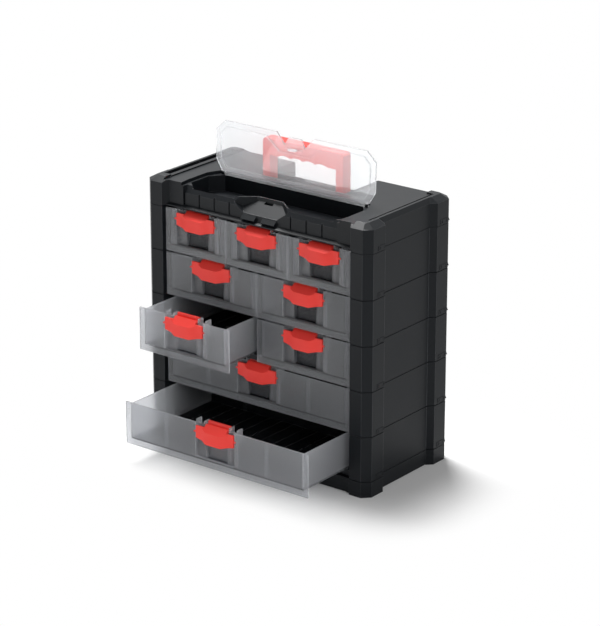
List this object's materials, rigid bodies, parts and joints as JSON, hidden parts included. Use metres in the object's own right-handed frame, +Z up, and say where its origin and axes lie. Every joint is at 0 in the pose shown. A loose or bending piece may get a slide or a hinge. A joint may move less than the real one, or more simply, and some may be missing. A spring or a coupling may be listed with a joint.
{
  "type": "tool storage caddy",
  "caption": "Stackable-tier storage caddy with clear pull-out drawers, red snap latches, a lidded top compartment and a fold-down carry handle.",
  "frame": {"origin": "centre of the case's footprint, on the surface that the caddy stands on", "axes": "+X across the caddy to its right as seen from the front, +Y from its front to its back, +Z up"},
  "size_m": [0.4, 0.2959, 0.4736],
  "materials": {
    "casing_plastic": "fine matt texture",
    "drawer_plastic": "translucent, smooth",
    "lid_plastic": "clear, smooth",
    "latch_plastic": "satin",
    "handle_plastic": "satin"
  },
  "bodies": {
    "case": {"base_plate": "casing_plastic", "tier_frame_1": "casing_plastic", "tier_frame_2": "casing_plastic", "tier_frame_3": "casing_plastic", "tier_frame_4": "casing_plastic", "tier_frame_5": "casing_plastic", "tier_divider_3_middle": "casing_plastic", "tier_divider_4_middle": "casing_plastic", "tier_divider_5_left": "casing_plastic", "tier_divider_5_right": "casing_plastic", "top_tray": "casing_plastic"},
    "lid": {"lid": "lid_plastic"},
    "carry_handle": {"carry_handle": "handle_plastic"},
    "bottom_drawer": {"bottom_drawer": "drawer_plastic"},
    "bottom_drawer_latch": {"bottom_drawer_latch": "latch_plastic"},
    "lower_drawer": {"lower_drawer": "drawer_plastic"},
    "lower_drawer_latch": {"lower_drawer_latch": "latch_plastic"},
    "middle_drawer_left": {"middle_drawer_left": "drawer_plastic"},
    "middle_drawer_left_latch": {"middle_drawer_left_latch": "latch_plastic"},
    "middle_drawer_right": {"middle_drawer_right": "drawer_plastic"},
    "middle_drawer_right_latch": {"middle_drawer_right_latch": "latch_plastic"},
    "upper_drawer_left": {"upper_drawer_left": "drawer_plastic"},
    "upper_drawer_left_latch": {"upper_drawer_left_latch": "latch_plastic"},
    "upper_drawer_right": {"upper_drawer_right": "drawer_plastic"},
    "upper_drawer_right_latch": {"upper_drawer_right_latch": "latch_plastic"},
    "top_drawer_left": {"top_drawer_left": "drawer_plastic"},
    "top_drawer_left_latch": {"top_drawer_left_latch": "latch_plastic"},
    "top_drawer_centre": {"top_drawer_centre": "drawer_plastic"},
    "top_drawer_centre_latch": {"top_drawer_centre_latch": "latch_plastic"},
    "top_drawer_right": {"top_drawer_right": "drawer_plastic"},
    "top_drawer_right_latch": {"top_drawer_right_latch": "latch_plastic"}
  },
  "joints": [
    {"name": "lid_hinge", "type": "hinge", "parent": "case", "child": "lid", "pos_m": [0, -0.0074, 0.39515], "axis": [1, 0, 0], "range_deg": [0, 92]},
    {"name": "handle_hinge", "type": "hinge", "parent": "case", "child": "carry_handle", "pos_m": [0, 0.0215, 0.38425], "axis": [-1, 0, 0], "range_deg": [0, 90]},
    {"name": "bottom_drawer_slide", "type": "slide", "parent": "case", "child": "bottom_drawer", "axis": [0, -1, 0], "range_m": [-0.0956, 0.0444]},
    {"name": "bottom_drawer_latch_pivot", "type": "hinge", "parent": "bottom_drawer", "child": "bottom_drawer_latch", "pos_m": [0, -0.19, 0.0753], "axis": [-1, 0, 0], "range_deg": [0, 12], "stiffness_Nm_per_rad": 0.03, "springref_deg": -5.73},
    {"name": "lower_drawer_slide", "type": "slide", "parent": "case", "child": "lower_drawer", "axis": [0, -1, 0], "range_m": [0, 0.14]},
    {"name": "lower_drawer_latch_pivot", "type": "hinge", "parent": "lower_drawer", "child": "lower_drawer_latch", "pos_m": [0, -0.0944, 0.14265], "axis": [-1, 0, 0], "range_deg": [0, 12], "stiffness_Nm_per_rad": 0.03, "springref_deg": -5.73},
    {"name": "middle_drawer_left_slide", "type": "slide", "parent": "case", "child": "middle_drawer_left", "axis": [0, -1, 0], "range_m": [-0.0614, 0.0786]},
    {"name": "middle_drawer_left_latch_pivot", "type": "hinge", "parent": "middle_drawer_left", "child": "middle_drawer_left_latch", "pos_m": [-0.0831, -0.1558, 0.21], "axis": [-1, 0, 0], "range_deg": [0, 12], "stiffness_Nm_per_rad": 0.03, "springref_deg": -5.73},
    {"name": "middle_drawer_right_slide", "type": "slide", "parent": "case", "child": "middle_drawer_right", "axis": [0, -1, 0], "range_m": [0, 0.14]},
    {"name": "middle_drawer_right_latch_pivot", "type": "hinge", "parent": "middle_drawer_right", "child": "middle_drawer_right_latch", "pos_m": [0.0831, -0.0944, 0.21], "axis": [-1, 0, 0], "range_deg": [0, 12], "stiffness_Nm_per_rad": 0.03, "springref_deg": -5.73},
    {"name": "upper_drawer_left_slide", "type": "slide", "parent": "case", "child": "upper_drawer_left", "axis": [0, -1, 0], "range_m": [0, 0.14]},
    {"name": "upper_drawer_left_latch_pivot", "type": "hinge", "parent": "upper_drawer_left", "child": "upper_drawer_left_latch", "pos_m": [-0.0831, -0.0944, 0.27735], "axis": [-1, 0, 0], "range_deg": [0, 12], "stiffness_Nm_per_rad": 0.03, "springref_deg": -5.73},
    {"name": "upper_drawer_right_slide", "type": "slide", "parent": "case", "child": "upper_drawer_right", "axis": [0, -1, 0], "range_m": [0, 0.14]},
    {"name": "upper_drawer_right_latch_pivot", "type": "hinge", "parent": "upper_drawer_right", "child": "upper_drawer_right_latch", "pos_m": [0.0831, -0.0944, 0.27735], "axis": [-1, 0, 0], "range_deg": [0, 12], "stiffness_Nm_per_rad": 0.03, "springref_deg": -5.73},
    {"name": "top_drawer_left_slide", "type": "slide", "parent": "case", "child": "top_drawer_left", "axis": [0, -1, 0], "range_m": [0, 0.14]},
    {"name": "top_drawer_left_latch_pivot", "type": "hinge", "parent": "top_drawer_left", "child": "top_drawer_left_latch", "pos_m": [-0.1108, -0.0944, 0.3447], "axis": [-1, 0, 0], "range_deg": [0, 12], "stiffness_Nm_per_rad": 0.03, "springref_deg": -5.73},
    {"name": "top_drawer_centre_slide", "type": "slide", "parent": "case", "child": "top_drawer_centre", "axis": [0, -1, 0], "range_m": [0, 0.14]},
    {"name": "top_drawer_centre_latch_pivot", "type": "hinge", "parent": "top_drawer_centre", "child": "top_drawer_centre_latch", "pos_m": [0, -0.0944, 0.3447], "axis": [-1, 0, 0], "range_deg": [0, 12], "stiffness_Nm_per_rad": 0.03, "springref_deg": -5.73},
    {"name": "top_drawer_right_slide", "type": "slide", "parent": "case", "child": "top_drawer_right", "axis": [0, -1, 0], "range_m": [0, 0.14]},
    {"name": "top_drawer_right_latch_pivot", "type": "hinge", "parent": "top_drawer_right", "child": "top_drawer_right_latch", "pos_m": [0.1108, -0.0944, 0.3447], "axis": [-1, 0, 0], "range_deg": [0, 12], "stiffness_Nm_per_rad": 0.03, "springref_deg": -5.73}
  ]
}
